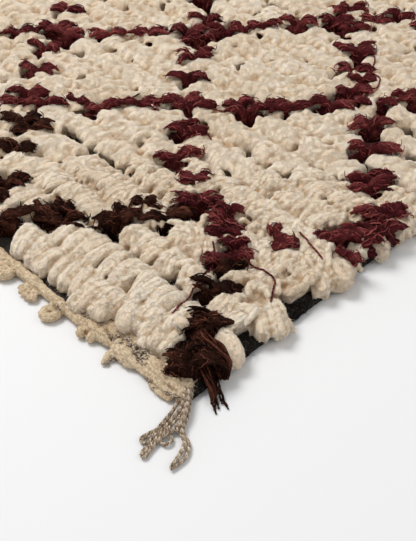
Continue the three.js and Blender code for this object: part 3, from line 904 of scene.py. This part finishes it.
def addBinding(name, side, node):
    dice = np.random.default_rng(41 + side)
    wraps = int(2 * halfLength / binding["wrap"])
    rings = wraps * 3 + 1
    y = np.linspace(-halfLength, halfLength, rings)
    middle = (bindingInner + halfWidth) / 2
    wobble = patches(y, y * 0 + side * 50, 40, 6)
    line = np.stack([side * (middle + 0.6 * wobble), y, np.full(rings, bindingHeight / 2)], -1)[None]
    swell = np.array([0.0, 0.55, 0.55] * wraps + [0.0]) * dice.uniform(0.6, 1.3, rings)
    wide = (halfWidth - bindingInner) / 2 - 0.6 + swell
    thick = bindingHeight / 2 - 0.7 + swell
    band = tubes(line, wide[None], thick[None], np.array([[1.0, 0, 0]]), 12)
    felt = meltedSkin([band], binding["cell"], binding["curls"], binding["most"])
    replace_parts(addPiece(name, felt, goatFinish), node)

    n = binding["hairs"] + binding["seenHairs"] * (side > 0)
    x = side * dice.uniform(bindingInner + 2, halfWidth - 0.5, n)
    y = dice.uniform(-halfLength + 3, halfLength - 3, n)
    start, stop = -halfLength + binding["seenFrom"], -halfLength + binding["seenTo"]
    y[binding["hairs"]:] = dice.uniform(start, stop, n - binding["hairs"])
    turn = dice.uniform(0, 2 * np.pi, n)
    length = dice.uniform(*binding["hairLength"], n)[:, None]
    s = np.linspace(0, 1, 3)[None]
    heading = turn[:, None] + dice.normal(0, 0.5, (n, 1)) * s
    z = bindingHeight - 1 + 3.2 * s * dice.uniform(0.1, 1.2, (n, 1))
    x = x[:, None] + np.cos(heading) * length * s
    y = y[:, None] + np.sin(heading) * length * s
    lines = np.stack([x, y, z], -1)
    half = binding["hairRadius"] * (1.15 - s) * np.ones((n, 1))
    hairs = tubes(lines, half, half, leftOf(turn), 3, dice.uniform(0.2, 1, n))
    addPiece(name + "_hairs", skinOf([hairs]), goatFinish)


addBinding("goatBinding_right", 1, "selvedge_right")
addBinding("goatBinding_left", -1, "selvedge_left")
print("bindings made")


# Ends: a roll of ground weave along each end of the rug, with the warps knotted into stubs. edge is how far
# the middle of a roll lies beyond the pile, and inner how far it stops short of the corners.
ending = {"roll": 5.4, "edge": 5.3, "inner": 13, "rings": 340, "stubs": 27, "stubPitch": 36,
          "cells": {"front": 1.2, "back": 2.4}, "most": {"front": 56000, "back": 16000},
          "curls": ((0.5, 4.5), (0.35, 2.4))}
# The stubs that the photo shows, from the front right corner, and where the bare weave begins.
seenStubs = {-226: "knob", -190: "fan", -154: "loop", -113: "crumple", -81: "point"}
bareFrom = -135
# The ground weave that lies bare near that corner, in folds: their middles and half sizes along the way.
bareFolds = [
    {"half": (4, 6.5, 6.5, 3), "flat": 0.8,
     "at": [(-132, -5, 5), (-116, -5, 6), (-102, -4, 6), (-90, -7, 5)]},
    {"half": (5, 8, 8, 4), "flat": 0.6, "at": [(-88, 2, 6), (-80, -4, 7), (-70, -5, 6), (-58, -8, 4)]},
    {"half": (6, 9, 10, 9, 5), "flat": 0.45,
     "at": [(-62, 8, 5), (-50, 3, 7), (-38, 1, 7), (-26, 0, 6), (-12, -4, 4)]},
    {"half": (6, 7, 7, 6, 4), "flat": 0.6,
     "at": [(-48, 16, 5), (-36, 10, 7), (-24, 6, 7), (-12, 0, 6), (-5, -6, 4)]},
    {"half": (3, 5, 5, 3), "flat": 0.6, "at": [(-44, -4, 3), (-34, -7, 3.5), (-22, -8, 3.5), (-12, -9, 3)]},
    {"half": (6, 8, 8, 8, 6), "flat": 0.6,
     "at": [(-128, 4, 6), (-104, 5, 7), (-84, 10, 6), (-62, 16, 5), (-42, 24, 4)]},
    {"half": (6, 8, 8, 5), "flat": 0.6, "at": [(-30, 22, 4), (-22, 16, 5), (-14, 8, 6), (-8, 0, 5)]},
]
# Tangles of thin warp yarn on it: x, y, z and size.
tangles = [
    (-132, 0, 8, 6), (-124, 3, 9, 7), (-114, 5, 9, 7), (-106, 7, 9, 6), (-98, 1, 8, 6), (-87, 2, 9, 7),
    (-80, 3, 9, 6), (-82, -12, 4, 6), (-80, -19, 3, 4), (-68, 4, 9, 7), (-60, 3, 9, 6), (-54, 1, 9, 6),
    (-40, -5, 6, 6), (-32, -8, 4, 6), (-38, 14, 9, 7), (-27, 15, 9, 7), (-14, 15, 8, 7), (-20, -5, 6, 6),
    (-12, -3, 7, 6), (-6, 1, 8, 6),
]


# The same points at another corner. side is 1 at the right and -1 at the left, and end is 1 at the front
# and -1 at the back.
def atCorner(points, side, end):
    return [(x if side > 0 else -2 * halfWidth - x, y if end > 0 else 2 * halfLength - y, z)
            for x, y, z in points]


def scribble(x, y, z, size, dice, bends):
    turns = dice.uniform(0, 2 * np.pi) + np.cumsum(dice.uniform(0.9, 2.2, bends))
    reach = size * dice.uniform(0.35, 1, bends)
    tall = np.clip(z + size * 0.45 * np.sin(turns * 1.7), 1.3, None)
    return [(x + r * np.cos(a), y + r * np.sin(a), h) for r, a, h in zip(reach, turns, tall)]


# One stub at x, which points away from the rug.
def stubTubes(kind, x, edge, end, dice):
    lean = dice.uniform(-0.25, 0.25)

    def rope(points, *look):
        points = [(x + side + lean * out, edge - end * out, height) for side, out, height in points]
        return ropeTube(points, *look)

    if kind == "fan":
        made = [rope([(0, -1, 6), (0, 7, 5)], (4.5, 4.2))]
        for turn in (-1.1, -0.55, 0, 0.5, 0.95):
            reach = dice.uniform(13, 15.5)
            tip = (turn * reach * 0.85, 5 + reach * np.cos(turn * 0.7), 3.6)
            made.append(rope([(turn * 3, 3, 5.5), (turn * reach * 0.62, 10, 5), tip], (2.2, 2.7, 2.9)))
        return made
    if kind == "loop":
        ring = [(2 + 5.2 * np.sin(a), 13 - 6.2 * np.cos(a), 4.8) for a in np.linspace(0.3, 6.0, 9)]
        return [rope([(-5, -2, 5.5), (-6, 5, 5), (-2, 9, 4.5)], (4, 4.4, 3.6)),
                rope([(4, -2, 5.6), (5, 5, 5), (4, 9, 4)], (4, 4, 3)),
                rope(ring, (4.2, 4.6, 4.2), 16, 8, 0.1)]
    if kind == "point":
        return [rope([(0, 0, 4.5), (-1, 8, 4), (1, 15, 3), (3, 20, 1.6)], (5.5, 4.6, 3, 0.8), 12)]
    if kind == "knob":
        bend = [(-5, 1, 5.5), (-7, 10, 5.6), (1, 16, 5.6), (7, 9, 6), (3, 3, 6.5)]
        return [rope(bend, (4.4, 5.6, 5), 16), rope([(0, 5, 5.5), (2, 14, 5)], (6.5, 5.4))]
    return [rope([(-3, 0, 5.5), (-5, 7, 5), (0, 13, 4.4)], (5, 5, 4)),
            rope([(3, 0, 5.5), (6, 6, 4.8), (5, 11, 4)], (4.4, 4.6, 3.6))]


# The roll and stubs of one end, and the places of the tangles on them.
def endTubes(end, dice):
    edge = -ending["edge"] if end > 0 else 2 * halfLength + ending["edge"]
    x = np.linspace(-2 * halfWidth + ending["inner"], -ending["inner"], ending["rings"])
    wander = 0.9 * patches(x, x * 0 + end * 40, 45, 13)
    thin = 1 - 0.5 * smooth((x - bareFrom) / 25) * (end > 0)
    line = np.stack([x + halfWidth, edge + wander - halfLength, np.full(len(x), ending["roll"] + 0.3)], 1)
    half = ending["roll"] * thin * (1 + 0.12 * patches(x, x * 0, 14, 14) + 0.06 * patches(x, x * 0, 5, 16))
    made = [tubes(line[None], half[None], half[None], upward, 12)]
    kinds = ["fan", "loop", "crumple", "knob", "point", "crumple"]
    knotted = []
    for n in range(ending["stubs"]):
        x = -halfWidth + (n - ending["stubs"] // 2) * ending["stubPitch"] + dice.uniform(-3, 3)
        kind = kinds[dice.integers(len(kinds))]
        if end > 0 and x > min(seenStubs) - ending["stubPitch"] / 2:
            near = [seen for seen in seenStubs if abs(seen - x) < ending["stubPitch"] / 2]
            if not near:
                continue
            x, kind = near[0], seenStubs[near[0]]
        made += stubTubes(kind, x, edge, end, dice)
        if kind in ("crumple", "point", "loop"):
            knotted.append((x + dice.uniform(-3, 3), edge - end * dice.uniform(2, 8), 7.5, 6))
    if end > 0:
        made += [ropeTube(fold["at"], fold["half"], 24, 12, 0.15, fold["flat"]) for fold in bareFolds]
        knotted = [spot for spot in knotted if spot[0] < bareFrom] + tangles
    return made, knotted


tangleYarn = {"count": 2, "radius": 0.62, "round": 0.5, "pitch": 4.5, "step": 1.9, "corners": 3}

for label, end in (("front", 1), ("back", -1)):
    dice = np.random.default_rng(50 + end)
    rolled, knotted = endTubes(end, dice)
    skin = meltedSkin(rolled, ending["cells"][label], ending["curls"], ending["most"][label])
    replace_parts(addPiece("endRoll_" + label, skin, warpFinish), "end_cord_" + label)
    batches = []
    for x, y, z, size in knotted:
        for _ in range(2 if size > 4 else 1):
            knot = scribble(x, y, z, size, dice, 9 if end > 0 else 6)
            batches.append(pliedTubes(knot, tangleYarn))
    addPiece("endTangles_" + label, skinOf(batches), tangleFinish)
print("end rolls and stubs made")


# Tassels of plied warp ends at the corners.
ply = {"count": 3, "radius": 0.85, "round": 0.95, "pitch": 6, "step": 1.2, "corners": 4}
plainPly = {"count": 2, "radius": 1.3, "round": 1.1, "pitch": 8, "step": 3, "corners": 4}
# The front right tassel's cords, as the photo shows them.
seenCords = [
    [(-13, 4, 7), (-8, -5, 6), (-2, -21, 4), (0, -33, 3), (-2, -44, 3), (-3, -51, 3)],
    [(-12, 6, 9), (-1, -8, 8), (3, -22, 7), (4, -33, 5), (3, -41, 3), (4, -50, 2.5), (-2, -51, 2.5),
     (0, -44, 2.5)],
    [(-10, 5, 7), (0, -9, 6), (4, -25, 5), (6, -40, 4), (8, -51, 3), (10, -59, 3)],
    [(-9, 6, 8), (3, -10, 7), (6, -24, 6), (8, -39, 4), (10, -51, 3), (12, -60, 3), (8, -59, 3),
     (6, -52, 3)],
    [(-8, 6, 9), (6, -12, 8), (10, -25, 5), (9, -36, 4), (9, -41, 3), (15, -41, 3), (16, -36, 3),
     (12, -32, 3)],
    [(-9, 9, 8), (-1, -2, 6), (7, -12, 4), (15, -23, 3), (27, -28, 3), (34, -38, 3), (34, -54, 3)],
    [(-7, 9, 7), (1, -2, 5), (8, -11, 4), (16, -25, 5), (24, -30, 4), (29, -39, 4), (33, -53, 3)],
    [(-8, 8, 9), (0, -3, 8), (8, -14, 7), (17, -25, 5), (26, -31, 5), (31, -42, 5), (33, -52, 4)],
    [(-8, 7, 10), (6, -10, 9), (11, -21, 7), (13, -28, 4)],
    [(-14, 2, 6), (-5, -12, 5), (-2, -25, 4), (0, -36, 3), (3, -45, 3)],
]
# The other tassels: how many cords splay out, how many degrees apart, and how far.
plainCords = {"count": 6, "middle": -64, "apart": 13, "reach": (38, 52)}


def cornerCords(side, end, dice):
    made = []
    for n in range(plainCords["count"]):
        spread = plainCords["apart"] * (n - (plainCords["count"] - 1) / 2)
        turn = np.radians(plainCords["middle"] + spread + dice.uniform(-5, 5))
        bend = dice.uniform(-0.5, 0.5)
        reach = dice.uniform(*plainCords["reach"])
        points = []
        for share in (-0.2, 0.1, 0.35, 0.6, 0.8, 1):
            away = turn + bend * share * share
            height = max(3, 8 - 7 * share + dice.uniform(-1, 1))
            points.append((-10 + np.cos(away) * reach * share, 4 + np.sin(away) * reach * share, height))
        made.append(atCorner(points, side, end))
    return made


for endLabel, end in (("front", 1), ("back", -1)):
    for sideLabel, side in (("right", 1), ("left", -1)):
        seen = end > 0 and side > 0
        dice = np.random.default_rng(60 + 2 * end + side)
        cords = seenCords if seen else cornerCords(side, end, dice)
        batches = [pliedTubes(cord, ply if seen else plainPly) for cord in cords]
        x, y, z = atCorner([(-10, 3, 7)], side, end)[0]
        for _ in range(2):
            knot = scribble(x + dice.uniform(-3, 3), y + dice.uniform(-3, 3), z, 5, dice, 8)
            batches.append(pliedTubes(knot, tangleYarn if seen else plainPly))
        name = f"{endLabel}_{sideLabel}"
        piece = addPiece("warpTassel_" + name, skinOf(batches), tangleFinish)
        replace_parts(piece, "tassel_" + name)
print("tassels made")


# The long brown locks that fall over the front right corner: how many strands, how wide, and their middles.
cornerLocks = [
    (22, 4.4, [(-67, 50, 14), (-62, 53, 21), (-57, 57, 25), (-48, 62, 26), (-36, 61, 26), (-28, 60, 22),
               (-24, 54, 16)]),
    (14, 3.6, [(-57, 48, 17), (-51, 54, 23), (-43, 58, 24), (-34, 57, 22), (-28, 53, 16)]),
    (18, 4.0, [(-44, 54, 17), (-33, 48, 23), (-20, 42, 24), (-8, 41, 22), (2, 40, 17), (6, 34, 9)]),
    (18, 3.8, [(-41, 46, 15), (-32, 38, 21), (-19, 34, 24), (-8, 35, 23), (2, 37, 18), (6, 36, 11)]),
    (12, 3.0, [(-30, 50, 18), (-17, 47, 21), (-5, 45, 18), (2, 40, 12), (5, 33, 8)]),
    (10, 2.6, [(-46, 35, 14), (-41, 26, 18), (-34, 23, 15), (-27, 24, 11)]),
    (9, 2.3, [(-40, 38, 16), (-35, 29, 18), (-27, 26, 14), (-21, 26, 10)]),
    (16, 3.4, [(-37, 40, 17), (-24, 29, 21), (-11, 26, 18), (1, 21, 12), (8, 17, 7), (13, 11, 4)]),
]
wisps = [
    [(-24, 30, 12), (-18, 21, 10), (-12, 13, 8), (-7, 6, 6)],
    [(-10, 28, 9), (4, 18, 6), (13, 12, 3), (21, 8, 1.2)],
    [(-5, 28, 9), (7, 19, 6), (15, 15, 2.5), (19, 13, 1.4)],
    [(-1, 31, 9), (8, 25, 6), (16, 21, 2), (24, 18, 1.2)],
    [(-1, 30, 8), (9, 22, 5), (17, 18, 1.5)],
    [(0, 27, 8), (8, 20, 5), (13, 14, 2), (17, 9, 1.2)],
]
# The thick tuft under them.
cornerTuft = {"half": (7, 9, 8, 7, 4),
              "at": [(-52, 60, 12), (-40, 47, 14), (-24, 40, 14), (-8, 37, 11), (2, 32, 6)]}


def lockOfStrands(points, strands, spread, radius, dice, rings=16):
    line = pathThrough(points, rings)[0]
    s = np.linspace(0, 1, rings)[None]
    ring = dice.uniform(0, 2 * np.pi, (strands, 1)) + dice.choice((-1, 1)) * dice.uniform(2.5, 4.5) * s
    ring = ring + dice.normal(0, 0.4, (strands, 1)) * s
    off = spread * np.sqrt(dice.random((strands, 1))) * (0.75 + 0.35 * np.sin(np.pi * s))
    off = off * (1 - 0.55 * s ** 4)
    side, over = waysAround(line)
    lines = line[None] + (off * np.cos(ring))[..., None] * side
    lines = lines + (0.8 * off * np.sin(ring))[..., None] * over
    lines = lines + 0.7 * np.sin(waveAlong(s, strands, 2, 4, dice))[..., None] * side
    lines[..., 2] = np.maximum(lines[..., 2], radius + 0.2)
    half = radius * dice.uniform(0.7, 1.3, (strands, 1)) * (1 - 0.5 * smooth((s - 0.8) / 0.2)) + 0 * s
    tone = np.clip(dice.normal(0.45, 0.35, strands), 0, 1)
    return tubes(lines, half, half, np.tile(upward, (strands, 1)), 4, tone)


dice = np.random.default_rng(71)
batches = [lockOfStrands(points, strands, wide, 1.0, dice) for strands, wide, points in cornerLocks]
batches += [lockOfStrands(points, 4, 1.0, 0.5, dice, 8) for points in wisps]
batches.append(ropeTube(cornerTuft["at"], cornerTuft["half"], 12))
addPiece("brownLocks_corner", skinOf(batches), brownFinish)
print("corner locks made")


# Loose threads on the pile: x and y from the front right corner.
threads = {
    "burgundy": [
        [(-106, 131), (-94, 121), (-85, 108), (-79, 88), (-75, 72), (-69, 55), (-64, 41)],
        [(-86, 143), (-74, 137), (-61, 133), (-48, 134), (-33, 133), (-25, 122), (-18, 112)],
        [(-58, 195), (-44, 190), (-32, 187), (-19, 181)],
        [(-218, 500), (-199, 488), (-185, 464), (-168, 457), (-161, 441), (-174, 440)],
        [(-241, 223), (-236, 235), (-230, 247), (-218, 241)],
        [(-287, 266), (-262, 283), (-238, 301)],
    ],
    "brown": [
        [(-186, 101), (-198, 110), (-202, 122), (-195, 125), (-186, 116), (-176, 109)],
        [(-344, 195), (-339, 211), (-336, 231), (-336, 248)],
    ],
}
thread = {"count": 2, "radius": 0.62, "round": 0.55, "pitch": 6, "step": 1.6, "corners": 5,
          "above": 1.2, "plainHeight": 22}


def pileSurface():
    points, faces = [], []
    for skin in (skins["fine"], skins["middling"]):
        loops, starts = skin["faces"] + len(points), np.cumsum(skin["totals"])[:-1]
        faces += [loop.tolist() for loop in np.split(loops, starts)]
        points += skin["points"].tolist()
    return BVHTree.FromPolygons(points, faces)


# The threads rest on the pile, and run evenly over its gaps.
surface = pileSurface()
for color, paths in threads.items():
    batches = []
    for path in paths:
        flat = pathThrough([(x, y, 0) for x, y in path], 4 * len(path))[0]
        tops = []
        for x, y, _ in flat:
            hit = surface.ray_cast(Vector((x, y, 90)), Vector((0, 0, -1)))[0]
            tops.append(hit.z if hit else thread["plainHeight"])
        tops = np.maximum(np.array(tops), np.convolve(np.pad(tops, 2, "edge"), np.ones(5) / 5, "valid"))
        resting = np.stack([flat[:, 0] - halfWidth, flat[:, 1] + halfLength, tops + thread["above"]], 1)
        batches.append(pliedTubes(resting, thread))
    addPiece(color + "Threads", skinOf(batches), knotFinishes[color])
print("loose threads made")


groundPiece = addGround()
print("ground made")


# Floor and light: sizes here are in metres.
stage = {
    "reach": 12, "floor": (0.84, 0.84, 0.84, 1), "sky": 0.5, "aim": (0.3, -0.4, 0),
    "lights": [
        {"name": "windowLight", "at": (-1.0, -0.9, 2.3), "size": 1.3, "watts": 50},
        {"name": "fillLight", "at": (2.2, 0.4, 2.2), "size": 2.5, "watts": 10},
    ],
}


def addStage():
    mesh = bpy.data.meshes.new("floor")
    reach = stage["reach"]
    corners = [(-reach, -reach, 0), (reach, -reach, 0), (reach, reach, 0), (-reach, reach, 0)]
    mesh.from_pydata(corners, [], [(0, 1, 2, 3)])
    material = bpy.data.materials.new("floorPaint")
    material.use_nodes = True
    shader = material.node_tree.nodes["Principled BSDF"]
    shader.inputs["Base Color"].default_value = stage["floor"]
    shader.inputs["Roughness"].default_value = 0.9
    shader.inputs["Specular IOR Level"].default_value = 0.1
    mesh.materials.append(material)
    placeObject("floor", mesh)
    world = bpy.data.worlds.new("studio")
    bpy.context.scene.world = world
    world.use_nodes = True
    sky = world.node_tree.nodes["Background"]
    sky.inputs["Color"].default_value = (1, 1, 1, 1)
    sky.inputs["Strength"].default_value = stage["sky"]
    for light in stage["lights"]:
        lamp = placeObject(light["name"], bpy.data.lights.new(light["name"], "AREA"))
        lamp.data.shape = "DISK"
        lamp.data.size = light["size"]
        lamp.data.energy = light["watts"]
        lamp.location = light["at"]
        lamp.rotation_euler = (Vector(stage["aim"]) - lamp.location).to_track_quat("-Z", "Y").to_euler()
    bpy.context.scene.view_settings.view_transform = "Standard"


addStage()
print("stage made")
